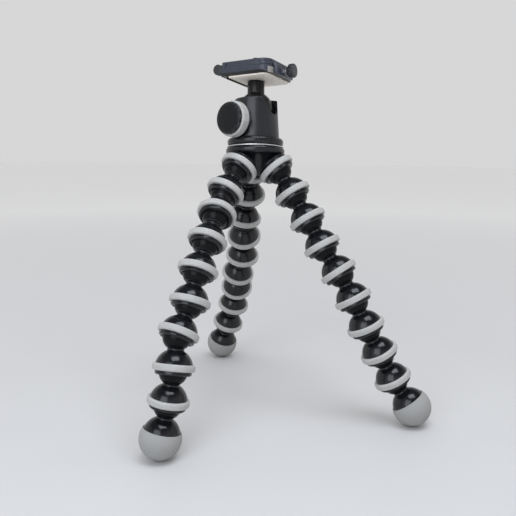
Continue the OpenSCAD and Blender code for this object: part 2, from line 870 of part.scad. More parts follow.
module camera_plate() {
    head_top = jaw_z + 2 * plate_gap + camera_head_t + camera_head_gap;
    color("#3a3e45") in_clamp() difference() {
        union() {
            rotate([90, 0, 0]) linear_extrude(clamp_d - 2 * plate_border, center = true) dovetail_profile();
            translate([0, 0, plate_z]) linear_extrude(plate_t) clamp_outline(plate_left, plate_border);
        }
        cylinder(h = head_top, r = camera_head_r + camera_head_gap);
        cylinder(h = 2 * pad_z, r = camera_screw_r + camera_screw_gap);
    }
}

module plate_pad() {
    color("#2a2a2b") in_clamp() translate([0, 0, pad_z]) difference() {
        linear_extrude(pad_t) clamp_outline(plate_left + pad_border, plate_border + pad_border);
        cylinder(h = 3 * pad_t, r = camera_screw_r + camera_screw_gap, center = true);
    }
}

module camera_screw() {
    head_z = jaw_z + 2 * plate_gap;
    thread_z = pad_top_z + camera_neck_rise;
    color("silver") in_clamp() difference() {
        union() {
            translate([0, 0, head_z]) cylinder(h = camera_head_t, r = camera_head_r);
            translate([0, 0, head_z]) cylinder(h = thread_z - head_z, r = camera_neck_r);
            translate([0, 0, thread_z]) cylinder(h = camera_screw_len - camera_neck_rise, r = camera_screw_r);
        }
        translate([0, 0, head_z]) cube([3 * camera_head_r, coin_slot_w, 2 * coin_slot_depth], center = true);
    }
}

hub_core();
hub_rings();
hub_collar();
head_stud();
pan_washer();
pan_base();
head_housing();
ball_cup();
disc_spring();
lock_screw();
lock_knob_cap();
lock_knob_grip();
ball_stem();
clamp_base();
clamp_underplate();
clamp_bolt();
level_vial();
level_caps();
moving_jaw();
jaw_screw();
jaw_knob();
camera_plate();
plate_pad();
camera_screw();
for (leg = [RIGHT:BACK]) {
    for (i = [1:LINKS - 1]) {
        leg_link(leg, i - 1);
    }
    foot_link(leg);
    foot_cup(leg);
}
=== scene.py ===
"""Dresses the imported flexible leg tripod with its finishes, eased edges, floor, light and camera."""

from __future__ import annotations

import json
import logging
import math
from collections.abc import Callable, Iterable, Sequence
from dataclasses import dataclass
from enum import Enum
from functools import cached_property

import bmesh
import bpy
from bmesh.types import BMEdge, BMesh, BMVert
from bpy.types import Material, Mesh, NodeSocket, Object
from mathutils import Matrix, Vector


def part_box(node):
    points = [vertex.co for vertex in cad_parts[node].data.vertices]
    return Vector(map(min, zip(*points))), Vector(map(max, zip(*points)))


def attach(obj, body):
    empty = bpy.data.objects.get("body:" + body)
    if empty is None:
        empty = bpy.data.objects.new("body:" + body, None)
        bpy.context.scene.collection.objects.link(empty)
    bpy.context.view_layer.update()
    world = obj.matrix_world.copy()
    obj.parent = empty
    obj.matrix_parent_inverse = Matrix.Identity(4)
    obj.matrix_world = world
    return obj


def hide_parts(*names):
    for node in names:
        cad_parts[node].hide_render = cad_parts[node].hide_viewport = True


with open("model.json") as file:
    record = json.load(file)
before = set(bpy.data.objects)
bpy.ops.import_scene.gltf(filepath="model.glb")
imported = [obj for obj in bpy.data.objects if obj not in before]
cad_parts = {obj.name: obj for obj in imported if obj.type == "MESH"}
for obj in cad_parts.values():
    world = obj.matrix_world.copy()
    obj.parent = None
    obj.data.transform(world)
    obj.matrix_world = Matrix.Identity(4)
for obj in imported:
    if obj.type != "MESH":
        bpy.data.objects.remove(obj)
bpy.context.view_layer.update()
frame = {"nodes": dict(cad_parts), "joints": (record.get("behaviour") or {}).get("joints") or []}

LOG = logging.getLogger("tripod")
JOINTS = {joint["name"]: joint for joint in frame["joints"]}
HERE = Matrix.Identity(4)
MM = 0.001
# Points of an outline closer than this, in millimetres, are one.
SAME = 1e-5
# Points of a CAD mesh closer than this, in metres, are one.
WELD = 2e-6
# Faces of a CAD mesh that meet at less than the first angle are one, and at more than the second an edge.
FLAT_ANGLE, EDGE_ANGLE = math.radians(1.5), math.radians(30)
EASED_WEAR = 0.7

Point = tuple[float, float]
Corner = tuple[float, float, float]
Colour = tuple[float, float, float]
Place = tuple[float, float, float]
Value = NodeSocket | float | tuple[float, ...]


class Side(Enum):
    """The three legs, by where they stand as seen from the front."""

    RIGHT = "right"
    LEFT = "left"
    BACK = "back"


class Pattern(Enum):
    """The fine relief of a finish."""

    MOULDED = "moulded"
    GRAINED = "grained"
    TURNED = "turned"
    BRUSHED = "brushed"


def arc(centre: Point, radius: float, start: float, end: float, steps: int = 12) -> list[Point]:
    """Points along an arc of an outline, by angles in degrees from the outward direction towards +height."""
    turns = (math.radians(start + (end - start) * i / steps) for i in range(steps + 1))
    return [(centre[0] + radius * math.cos(t), centre[1] + radius * math.sin(t)) for t in turns]


def softened(corners: Sequence[Corner], closed: bool = False, steps: int = 5) -> list[Point]:
    """A straight-sided outline with its corners rounded.

    Args:
        corners: Radius, height and rounding of each corner, in millimetres.
        closed: Whether the last corner joins the first.
        steps: Number of steps in each rounded corner.

    Returns:
        The outline's points.
    """
    points: list[Point] = []
    count = len(corners)
    for i, (r, z, ease) in enumerate(corners):
        at_end = not closed and i in (0, count - 1)
        if ease <= 0 or at_end:
            points.append((r, z))
            continue
        here = Vector((r, z))
        back = Vector(corners[i - 1][:2]) - here
        ahead = Vector(corners[(i + 1) % count][:2]) - here
        half = back.angle(ahead) / 2
        reach = min(ease / math.tan(half), 0.499 * back.length, 0.499 * ahead.length)
        ease = reach * math.tan(half)
        middle = here + (back.normalized() + ahead.normalized()).normalized() * ease / math.sin(half)
        first = here + back.normalized() * reach - middle
        last = here + ahead.normalized() * reach - middle
        sweep = first.angle_signed(last)
        for k in range(steps + 1):
            spoke = Matrix.Rotation(-sweep * k / steps, 2) @ first
            points.append(tuple(middle + spoke))
    return points


@dataclass(frozen=True)
class Band:
    """One stretch of a turned outline and the finish that it carries."""

    points: list[Point]
    finish: int = 0


def edge_wear(points: Sequence[Point], closed: bool) -> list[float]:
    """How exposed each point of an outline is to rubbing, from 0 on flats to 1 on tight outer edges.

    Args:
        points: The outline, in millimetres.
        closed: Whether the last point joins the first.

    Returns:
        One value for each point.
    """
    rubbed_radius = 1.2
    count = len(points)
    turns: list[float] = []
    lengths: list[float] = []
    for i, here in enumerate(points):
        before = Vector(here) - Vector(points[i - 1])
        after = Vector(points[(i + 1) % count]) - Vector(here)
        at_end = not closed and i in (0, count - 1)
        bent = not at_end and min(before.length, after.length) > SAME
        turns.append(before.angle_signed(after) if bent else 0.0)
        lengths.append((before.length + after.length) / 2 if bent else 1.0)
    sign = 1 if sum(turns) >= 0 else -1
    bends = (sign * turn / length for turn, length in zip(turns, lengths))
    return [min(1.0, max(0.0, bend * rubbed_radius)) for bend in bends]


def turned(name: str, bands: Sequence[Band], segments: int = 72, closed: bool = False) -> Mesh:
    """A mesh turned about its own Z axis.

    Args:
        name: Name of the mesh.
        bands: The outline's stretches in order, each starting where the last one ends.
        segments: Number of steps round the axis.
        closed: Whether the outline is a ring that stays clear of the axis.

    Returns:
        The mesh, in metres, with a wear value on each vertex.
    """
    points: list[Point] = []
    finishes: list[int] = []
    for band in bands:
        for point in band.points:
            if points and math.dist(points[-1], point) < SAME:
                continue
            if points:
                finishes.append(band.finish)
            points.append(point)
    if closed and math.dist(points[-1], points[0]) < SAME:
        points.pop()
    elif closed:
        finishes.append(bands[-1].finish)
    wear = edge_wear(points, closed)
    mesh = bmesh.new()
    layer = mesh.verts.layers.float.new("wear")
    rows: list[list[BMVert]] = []
    for (r, z), worn in zip(points, wear):
        steps = 1 if r < SAME else segments
        row = []
        for k in range(steps):
            turn = 2 * math.pi * k / segments
            vert = mesh.verts.new((r * math.cos(turn) * MM, r * math.sin(turn) * MM, z * MM))
            vert[layer] = worn
            row.append(vert)
        rows.append(row)
    pairs = list(zip(rows, rows[1:] + rows[:1] if closed else rows[1:]))
    for (low, high), finish in zip(pairs, finishes):
        for k in range(segments):
            ring = [row[n % len(row)] for row, n in ((low, k), (low, k + 1), (high, k + 1), (high, k))]
            corners = list(dict.fromkeys(ring))
            if len(corners) > 2:
                face = mesh.faces.new(corners)
                face.smooth = True
                face.material_index = finish
    bmesh.ops.recalc_face_normals(mesh, faces=mesh.faces)
    return finished_mesh(name, mesh)


def lathed(
    name: str, corners: Sequence[Corner], segments: int = 72, steps: int = 5, closed: bool = True
) -> Mesh:
    """A mesh turned from a straight-sided outline with rounded corners."""
    return turned(name, [Band(softened(corners, closed, steps))], segments, closed)


def finished_mesh(name: str, mesh: BMesh, crease: float = 32) -> Mesh:
    """A Blender mesh from a worked one, smooth except at its creases.

    Args:
        name: Name of the mesh.
        mesh: The worked mesh, which is freed.
        crease: Angle in degrees above which an edge stays sharp.

    Returns:
        The new mesh.
    """
    data = bpy.data.meshes.new(name)
    mesh.to_mesh(data)
    mesh.free()
    data.set_sharp_from_angle(angle=math.radians(crease))
    return data


def eased(mesh: BMesh, edges: Sequence[BMEdge], ease: float, steps: int) -> None:
    """Rounds some edges of a worked mesh and marks them as worn.

    Args:
        mesh: The worked mesh, with its wear layer.
        edges: The edges to round.
        ease: Width of the rounding, in millimetres.
        steps: Number of faces across each rounded edge.
    """
    layer = mesh.faces.layers.float["wear"]
    made = bmesh.ops.bevel(mesh, geom=edges, offset=ease * MM, offset_type="OFFSET", segments=steps,
                           profile=0.5, affect="EDGES", clamp_overlap=True)
    for face in made["faces"]:
        face[layer] = EASED_WEAR


def eased_copy(
    node: str,
    ease: float,
    steps: int = 2,
    soft: Callable[[Vector], bool] | None = None,
    soft_ease: float = 0.0,
    soft_steps: int = 5,
) -> Mesh:
    """A copy of a CAD node with its sharp edges eased.

    Args:
        node: Name of the CAD node.
        ease: Width of the eased edges, in millimetres.
        steps: Number of faces across each eased edge.
        soft: Tells whether an end of an edge lies on a line that is rounded more.
        soft_ease: Width of that wider rounding.
        soft_steps: Number of faces across it.

    Returns:
        The new mesh, in the shared frame, with wear on the eased edges.
    """
    mesh = bmesh.new()
    mesh.from_mesh(frame["nodes"][node].data)
    bmesh.ops.remove_doubles(mesh, verts=mesh.verts, dist=WELD)
    bmesh.ops.dissolve_limit(mesh, angle_limit=FLAT_ANGLE, verts=mesh.verts, edges=mesh.edges)
    mesh.faces.layers.float.new("wear")
    if soft:
        wide = [e for e in mesh.edges if e.is_manifold and all(soft(v.co) for v in e.verts)]
        eased(mesh, wide, soft_ease, soft_steps)
    sharp = [e for e in mesh.edges if e.is_manifold and e.calc_face_angle(0.0) > EDGE_ANGLE]
    eased(mesh, sharp, ease, steps)
    for face in mesh.faces:
        face.smooth = True
    return finished_mesh(node, mesh)


def toned(mesh: Mesh, chosen: Callable[[Vector, Vector], int]) -> Mesh:
    """Shares a piece's finishes out over the faces of its mesh.

    Args:
        mesh: The mesh.
        chosen: Gives the number of a face's finish from its centre and normal.

    Returns:
        The same mesh.
    """
    for face in mesh.polygons:
        face.material_index = chosen(face.center, face.normal)
    return mesh


def split(mesh: Mesh, place: Vector, normal: Vector) -> Mesh:
    """Draws a line over a mesh where a plane meets it, so that its two sides can differ in finish.

    Args:
        mesh: The mesh.
        place: A point of the plane.
        normal: The plane's normal.

    Returns:
        The same mesh.
    """
    worked = bmesh.new()
    worked.from_mesh(mesh)
    every = [*worked.verts, *worked.edges, *worked.faces]
    bmesh.ops.bisect_plane(worked, geom=every, plane_co=place, plane_no=normal)
    worked.to_mesh(mesh)
    worked.free()
    return mesh


class Sheet:
    """The shader nodes of a material or a world, with a call that adds a node and joins its inputs."""

    def __init__(self, owner: Material | bpy.types.World) -> None:
        """Opens the nodes of a material or a world."""
        owner.use_nodes = True
        self.tree = owner.node_tree

    def join(self, value: Value, socket: NodeSocket) -> None:
        """Links an output to a socket, or sets the socket to a fixed value.

        Args:
            value: An output, a number, a colour or a scale.
            socket: The input socket.
        """
        if isinstance(value, NodeSocket):
            self.tree.links.new(value, socket)
        elif isinstance(value, tuple) and socket.type == "RGBA":
            socket.default_value = (*value, 1.0)
        else:
            socket.default_value = value

    def node(
        self, kind: str, output: str | int, inputs: dict[str | int, Value], **options: str
    ) -> NodeSocket:
        """Adds a node and gives one of its outputs.

        Args:
            kind: The node's type.
            output: Name or number of the output.
            inputs: What each of its inputs is joined to.
            options: The node's own settings.

        Returns:
            The output.
        """
        node = self.tree.nodes.new(f"ShaderNode{kind}")
        for option, choice in options.items():
            setattr(node, option, choice)
        for name, value in inputs.items():
            self.join(value, node.inputs[name])
        return node.outputs[output]

    def spread(
        self, value: Value, low: Value, high: Value, span: Point, curve: str = "LINEAR"
    ) -> NodeSocket:
        """A value moved from a span of its own range to another range."""
        inputs = {"Value": value, "From Min": span[0], "From Max": span[1], "To Min": low, "To Max": high}
        return self.node("MapRange", "Result", inputs, interpolation_type=curve)

    def combine(self, operation: str, first: Value, second: Value) -> NodeSocket:
        """Two values put together."""
        return self.node("Math", "Value", {0: first, 1: second}, operation=operation)


class Paint(Sheet):
    """A material's node sheet, drawn in the frame of the piece that wears it."""

    def __init__(self, name: str) -> None:
        """Starts a material of the given name with a principled shader."""
        self.material = bpy.data.materials.new(name)
        super().__init__(self.material)
        self.shader = self.tree.nodes["Principled BSDF"]
        self.coords = self.node("TexCoord", "Object", {})

    def show(self, looks: dict[str, Value]) -> None:
        """Joins values to the shader's sockets, which are given by name."""
        for name, value in looks.items():
            self.join(value, self.shader.inputs[name])

    def noise(self, size: float, detail: float, stretch: Place = (1, 1, 1)) -> NodeSocket:
        """Cloudy noise with features of a size in millimetres, drawn out where the stretch is small."""
        place = self.node("Mapping", "Vector", {"Vector": self.coords, "Scale": stretch})
        return self.node("TexNoise", "Fac", {"Vector": place, "Scale": 1 / (size * MM), "Detail": detail})

    def clouds(self, size: float, detail: float, low: float = 0.0, high: float = 1.0,
               span: Point = (0.3, 0.7)) -> NodeSocket:
        """A value that drifts between two others in clouds of a size in millimetres."""
        return self.spread(self.noise(size, detail), low, high, span)

    def reach(self) -> NodeSocket:
        """Distance from the piece's own origin, in metres."""
        return self.node("VectorMath", "Value", {0: self.coords}, operation="LENGTH")

    def cells(self, size: float) -> NodeSocket:
        """Distance to the nearest grain of a pebbled surface, with grains of a size in millimetres."""
        return self.node("TexVoronoi", "Distance", {"Vector": self.coords, "Scale": 1 / (size * MM)})

    def rings(self, size: float, waver: float = 1.5) -> NodeSocket:
        """Fine rings about the piece's Z axis, a size in millimetres apart, as a lathe tool leaves them."""
        inputs = {"Vector": self.coords, "Scale": math.pi / 10 / (size * MM), "Distortion": waver}
        return self.node("TexWave", "Fac", inputs, wave_type="RINGS", rings_direction="Z")

    def blend(self, share: Value, first: Value, second: Value) -> NodeSocket:
        """A colour between two others, by the second one's share."""
        return self.node("Mix", 2, {"Factor": share, 6: first, 7: second}, data_type="RGBA")

    def worn(self) -> NodeSocket:
        """The wear value that the mesh carries."""
        return self.node("Attribute", "Fac", {}, attribute_name="wear")

    def relief(self, height: NodeSocket, depth: float) -> None:
        """Raises the surface by a height from 0 to 1, to a depth in millimetres."""
        inputs = {"Strength": 1.0, "Distance": depth * MM, "Height": height}
        self.show({"Normal": self.node("Bump", "Normal", inputs)})


@dataclass(frozen=True)
class Look:
    """What every finish has: a name, a main colour and a material that is made once."""

    name: str
    colour: Colour

    def material(self) -> Material:
        """The finish's material, drawn at its first use."""
        return bpy.data.materials.get(self.name) or self.draw(Paint(self.name))

    def draw(self, paint: Paint) -> Material:
        """Draws the material, which each kind of finish does in its own way."""
        raise NotImplementedError


@dataclass(frozen=True)
class Finish(Look):
    """A solid finish: two close colours, a range of gloss, a fine relief and worn edges."""

    shade: Colour
    worn_colour: Colour
    gloss: Point
    wear: float = 0.3
    cloud: float = 9
    pattern: Pattern = Pattern.MOULDED
    grain: float = 0.4
    depth: float = 0.01
    metal: float = 0.0
    sheen: float = 0.5

    def draw(self, paint: Paint) -> Material:
        """Draws the material.

        Args:
            paint: Its empty node sheet.

        Returns:
            The material.
        """
        base = paint.blend(paint.clouds(self.cloud, 4), self.colour, self.shade)
        chips = paint.clouds(self.cloud / 6, 3, 0.0, self.wear, (0.4, 0.6))
        rubbed = paint.combine("MULTIPLY", paint.worn(), chips)
        paint.show({
            "Base Color": paint.blend(rubbed, base, self.worn_colour),
            "Roughness": paint.clouds(self.cloud / 2, 4, *self.gloss),
            "Metallic": self.metal,
            "Specular IOR Level": self.sheen,
        })
        paint.relief(self.texture(paint), self.depth)
        return paint.material

    def texture(self, paint: Paint) -> NodeSocket:
        """The relief's height for the finish's pattern.

        Args:
            paint: The material's node sheet.

        Returns:
            The height's value.
        """
        if self.pattern is Pattern.GRAINED:
            return paint.cells(self.grain)
        if self.pattern is Pattern.TURNED:
            return paint.rings(self.grain)
        if self.pattern is Pattern.BRUSHED:
            return paint.noise(self.grain, 3, (1.0, 0.04, 1.0))
        return paint.noise(self.grain, 2)


@dataclass(frozen=True)
class GlassFinish(Look):
    """Tinted clear plastic filled with liquid."""

    clear: float
    paler: float = 1.06
    gloss: Point = (0.04, 0.09)

    def draw(self, paint: Paint) -> Material:
        """Draws the material.

        Args:
            paint: Its empty node sheet.

        Returns:
            The material.
        """
        pale = tuple(min(1.0, part * self.paler) for part in self.colour)
        paint.show({
            "Base Color": paint.blend(paint.clouds(6, 2), self.colour, pale),
            "Roughness": paint.clouds(3, 2, *self.gloss),
            "Transmission Weight": self.clear,
        })
        return paint.material


LEG_GLOSS = Finish("leg_gloss", (0.004, 0.0043, 0.006), (0.0062, 0.0066, 0.0086), (0.03, 0.03, 0.032),
                   (0.15, 0.22), grain=1.4, depth=0.004, sheen=0.42)
BALL_BLACK = Finish("ball_black", (0.0032, 0.0036, 0.0038), (0.0048, 0.0053, 0.0054), (0.03, 0.03, 0.032),
                   (0.16, 0.24), wear=0.6, grain=0.9, depth=0.004, sheen=0.12)
RING_RUBBER = Finish("ring_rubber", (0.44, 0.439, 0.426), (0.395, 0.394, 0.382), (0.55, 0.549, 0.534),
                     (0.46, 0.6), wear=0.5, pattern=Pattern.GRAINED, grain=0.35, depth=0.01)
FOOT_RUBBER = Finish("foot_rubber", (0.46, 0.458, 0.45), (0.33, 0.328, 0.324), (0.5, 0.497, 0.49),
                     (0.55, 0.75), wear=0.6, cloud=6, pattern=Pattern.GRAINED, grain=0.4, depth=0.02)
HUB_GLOSS = Finish("hub_gloss", (0.004, 0.0044, 0.006), (0.006, 0.0065, 0.0085), (0.05, 0.05, 0.052),
                   (0.2, 0.28), grain=1.2, depth=0.004, sheen=0.4)
BASE_BLACK = Finish("base_black", (0.0035, 0.0037, 0.0045), (0.005, 0.0052, 0.006), (0.06, 0.06, 0.062),
                   (0.2, 0.28), wear=0.6, grain=0.25, depth=0.004, sheen=0.35)
HEAD_PAINT = Finish("head_paint", (0.0072, 0.0078, 0.0108), (0.0095, 0.01, 0.013), (0.1, 0.1, 0.107),
                    (0.27, 0.31), wear=0.7, grain=0.2, depth=0.0015, sheen=0.5)
KNOB_CAP = Finish("knob_cap", (0.006, 0.0063, 0.0078), (0.008, 0.0083, 0.01), (0.09, 0.09, 0.095),
                  (0.26, 0.34), wear=0.6, grain=0.25, depth=0.004, sheen=0.2)
KNOB_GRIP = Finish("knob_grip", (0.45, 0.445, 0.43), (0.36, 0.357, 0.345), (0.6, 0.597, 0.58),
                   (0.6, 0.75), wear=0.5, cloud=4, pattern=Pattern.GRAINED, grain=0.45, depth=0.05)
STEM_SATIN = Finish("stem_satin", (0.0065, 0.0065, 0.0075), (0.009, 0.009, 0.0102), (0.07, 0.07, 0.07),
                    (0.24, 0.34), wear=0.4, pattern=Pattern.TURNED, grain=0.2, depth=0.003, sheen=0.28)
CLAMP_PAINT = Finish("clamp_paint", (0.029, 0.034, 0.05), (0.034, 0.039, 0.055), (0.15, 0.158, 0.18),
                     (0.34, 0.4), wear=0.8, grain=0.3, depth=0.0005)
# Black for the clamp's faces that look down: painted shade under the clamp.
CLAMP_SHADE_BLACK = Finish("clamp_shade_black", (0.0085, 0.0088, 0.0098), (0.0115, 0.0118, 0.013), (0.06, 0.06, 0.063),
                     (0.34, 0.42), wear=0.5, grain=0.25, depth=0.004)
UNDER_BLACK = Finish("under_black", (0.005, 0.0052, 0.006), (0.007, 0.0072, 0.008), (0.03, 0.03, 0.032),
                     (0.75, 0.85), wear=0.4, grain=0.25, depth=0.004, sheen=0.1)
# A paler patch on the clamp's low side faces that face the thumb knob, chosen by face direction.
PALE_SIDE = Finish("pale_side", (0.33, 0.315, 0.29), (0.27, 0.258, 0.24), (0.5, 0.48, 0.45),
                   (0.35, 0.45), wear=0.4, pattern=Pattern.BRUSHED, grain=0.25, depth=0.005)
UNDERPLATE = Finish("underplate_bare", (0.8, 0.735, 0.65), (0.72, 0.66, 0.58), (0.84, 0.78, 0.71),
                    (0.4, 0.52), wear=0.4, pattern=Pattern.BRUSHED, grain=0.25, depth=0.005)
LEVEL_BLACK = Finish("level_black", (0.021, 0.0215, 0.025), (0.026, 0.0265, 0.0305), (0.08, 0.08, 0.083),
                     (0.3, 0.42), wear=0.6, grain=0.3, depth=0.006)
PAD_RUBBER = Finish("pad_rubber", (0.024, 0.024, 0.0245), (0.031, 0.031, 0.0315), (0.06, 0.06, 0.06),
                    (0.6, 0.75), pattern=Pattern.GRAINED, grain=0.3, depth=0.02)
BRIGHT_RING = Finish("bright_ring", (0.72, 0.72, 0.73), (0.62, 0.62, 0.63), (0.85, 0.85, 0.85),
                     (0.42, 0.5), pattern=Pattern.TURNED, grain=0.18, depth=0.003, metal=1.0)
STEEL = Finish("steel", (0.55, 0.55, 0.56), (0.48, 0.48, 0.49), (0.7, 0.7, 0.7),
               (0.22, 0.34), pattern=Pattern.TURNED, grain=0.2, depth=0.004, metal=1.0)
DARK_STEEL = Finish("dark_steel", (0.09, 0.09, 0.095), (0.07, 0.07, 0.074), (0.16, 0.16, 0.165),
                    (0.36, 0.44), pattern=Pattern.TURNED, grain=0.2, depth=0.004, metal=1.0)
SEAT_PLASTIC = Finish("seat_plastic", (0.78, 0.78, 0.76), (0.7, 0.7, 0.68), (0.85, 0.85, 0.83), (0.4, 0.5))
VIAL_TINT = GlassFinish("vial_tint", (0.86, 0.93, 0.34), 0.35)


def place_at(origin: Vector, along: Vector, across: Vector) -> Matrix:
    """The frame of a piece: its origin, its Z along one direction and its X near another.

    Args:
        origin: Place of the frame's origin, in metres.
        along: Direction of its Z axis.
        across: A direction that its X axis leans to.

    Returns:
        The frame as a matrix.
    """
    z = along.normalized()
    x = (across - z * across.dot(z)).normalized()
    y = z.cross(x)
    turn = Matrix((x, y, z)).transposed().to_4x4()
    return Matrix.Translation(origin) @ turn


def joint_point(name: str) -> Vector:
    """The point that a hinge turns about, in metres."""
    return Vector(JOINTS[name]["pos_m"])


def joint_axis(name: str) -> Vector:
    """The direction of a joint's axis."""
    return Vector(JOINTS[name]["axis"]).normalized()


def added(name: str, data: bpy.types.ID) -> Object:
    """A new object of the scene, which shows the given mesh, light or camera.

    Args:
        name: Name of the object.
        data: What it shows.

    Returns:
        The object.
    """
    thing = bpy.data.objects.new(name, data)
    bpy.context.scene.collection.objects.link(thing)
    return thing


def put(
    name: str,
    mesh: Mesh,
    at: Matrix,
    body: str,
    finishes: Sequence[Look],
    nodes: Iterable[str] = (),
) -> Object:
    """Adds a piece to the scene and lets it ride on its body.

    Args:
        name: Name of the piece.
        mesh: Its mesh, which several pieces may share.
        at: Its frame.
        body: The body that it moves with.
        finishes: The finishes that its faces use, in order.
        nodes: The CAD nodes that it stands for.

    Returns:
        The new piece.
    """
    piece = added(name, mesh)
    piece.matrix_world = at
    if not mesh.materials:
        for finish in finishes:
            mesh.materials.append(finish.material())
    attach(piece, body)
    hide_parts(*nodes)
    LOG.info("piece %s rides on %s", name, body)
    return piece


def dress(node: str, finish: Look) -> None:
    """Gives a CAD node its finish and leaves its shape.

    Args:
        node: Name of the CAD node.
        finish: The finish to use.
    """
    materials = frame["nodes"][node].data.materials
    materials.clear()
    materials.append(finish.material())
    LOG.info("node %s dressed in %s", node, finish.name)


@dataclass
class LegParts:
    """Sizes and shared meshes of the ball-and-socket links, in millimetres."""

    pitch: float = 22.205
    ball_r: float = 9.5
    ball_flat: float = 1.2
    flat_ease: float = 0.3
    flat_turn: float = 1.5
    neck_turn: float = 1.0
    waist_r: float = 5.5
    waist_flare: float = 1.0
    waist_h: float = 2.4
    dome_r: float = 12.5
    dome_rise: float = 2.2
    socket_r: float = 9.75
    mouth_back: float = 0.35
    mouth_rim: float = 0.05
    lip_r: float = 12.0
    lip_drop: float = 2.3
    lip_bevel: float = 0.8
    lip_face: float = 0.6
    step_in: float = 0.15
    step_down: float = 0.45
    ring_r: float = 14.0
    ring_w: float = 4.6
    ring_rise: float = 2.7
    ring_edge: float = 1.9
    ring_crown: float = 0.12
    groove_r: float = 10.95
    foot_r: float = 14.0
    foot_rim: float = 5.2
    foot_gap: float = 0.05

    def upper_bands(self, down_to: float, steps: int) -> list[Band]:
        """The ball with its cut top, the hollow of the waist, and the dome.

        Args:
            down_to: Where the dome ends, along the link from the next joint's centre.
            steps: Number of steps along the dome.

        Returns:
            The ball's stretch of the outline, then the rest.
        """
        flat_z = self.ball_flat - self.ball_r
        top = math.asin(flat_z / self.ball_r)
        neck_r = self.waist_r + self.waist_flare
        neck = math.acos(neck_r / self.ball_r)
        half = self.waist_h / 2
        hollow_r = (half * half + self.waist_flare**2) / (2 * self.waist_flare)
        hollow_at = (self.waist_r + hollow_r, self.ball_r * math.sin(neck) + half)
        reach = math.degrees(math.asin(half / hollow_r))
        start = math.degrees(math.acos(neck_r / self.dome_r))
        end = math.degrees(math.asin((down_to + self.dome_rise) / self.dome_r))
        ball_span = math.degrees(top) + self.flat_turn, math.degrees(neck) - self.neck_turn
        ball = [(0.0, flat_z), (self.ball_r * math.cos(top) - self.flat_ease, flat_z)]
        ball += arc((0, 0), self.ball_r, *ball_span, 22)
        waist = arc(hollow_at, hollow_r, 180 + reach, 180 - reach, 8)
        dome = arc((0, self.pitch - self.dome_rise), self.dome_r, -start, end, steps)
        return [Band(ball[:-1], 1), Band(ball[-2:] + waist + dome)]

    @cached_property
    def link(self) -> Mesh:
        """A link: ball, waist, dome, the groove for its ring, the stepped lip and the socket.

        Returns:
            The shared mesh.
        """
        ring_top = self.pitch - self.ring_rise - self.ring_w / 2
        ring_foot = ring_top + self.ring_w
        edge = self.pitch + self.lip_drop
        face_r = self.lip_r - self.lip_bevel - self.lip_face
        rim_r = self.socket_r + self.mouth_rim
        mouth = math.asin((self.lip_drop - self.mouth_back) / self.socket_r)
        upper = self.upper_bands(ring_top - self.pitch, 18)
        groove = [upper[-1].points[-1], (self.groove_r, ring_top), (self.groove_r, ring_foot)]
        lip = softened([
            (self.groove_r, ring_foot, 0),
            (self.lip_r, ring_foot, 0.25),
            (self.lip_r, edge - self.lip_bevel, 0.4),
            (self.lip_r - self.lip_bevel, edge, 0.35),
            (face_r, edge, 0.12),
            (face_r - self.step_in, edge - self.step_down, 0.1),
            (rim_r + self.step_in, edge - self.step_down, 0.1),
            (rim_r, edge - self.step_in, 0.1),
            (self.socket_r * math.cos(mouth), edge - self.mouth_back, 0),
        ], steps=3)
        socket = arc((0, self.pitch), self.socket_r, math.degrees(mouth), -90, 14)
        return turned("leg_link", [*upper, Band(groove, 1), Band(lip), Band(socket, 1)])

    @cached_property
    def ring(self) -> Mesh:
        """A grip ring with rounded outer edges and a soft crown, about the socket's centre.

        Returns:
            The shared mesh.
        """
        top, foot = (side * self.ring_w / 2 - self.ring_rise for side in (-1, 1))
        side_r = self.ring_r - self.ring_crown
        return lathed("grip_ring", [
            (self.groove_r, top, 0.15),
            (side_r, top, self.ring_edge),
            (self.ring_r, -self.ring_rise, 0.0),
            (side_r, foot, self.ring_edge),
            (self.groove_r, foot, 0.15),
        ], steps=7)

    @cached_property
    def foot_link(self) -> Mesh:
        """The last link: ball, waist and a plain round dome."""
        return turned("foot_link", self.upper_bands(self.dome_r - self.dome_rise, 26))

    @cached_property
    def foot_cup(self) -> Mesh:
        """The rubber foot: a ball's lower part with a rolled rim and the dome's hollow.

        Returns:
            The shared mesh.
        """
        inner_r = self.dome_r + self.foot_gap
        outer_at = -math.degrees(math.asin(self.foot_rim / self.foot_r))
        inner_at = -math.degrees(math.asin((self.foot_rim - self.dome_rise) / inner_r))
        outer = arc((0, 0), self.foot_r, 90, outer_at, 26)
        inner = arc((0, -self.dome_rise), inner_r, inner_at, 90, 20)
        edge, hollow = outer[-1][0], inner[0][0]
        rim = arc(((edge + hollow) / 2, -self.foot_rim), (edge - hollow) / 2, 0, -180, 8)
        return turned("foot_cup", [Band(outer + rim[1:-1] + inner)])


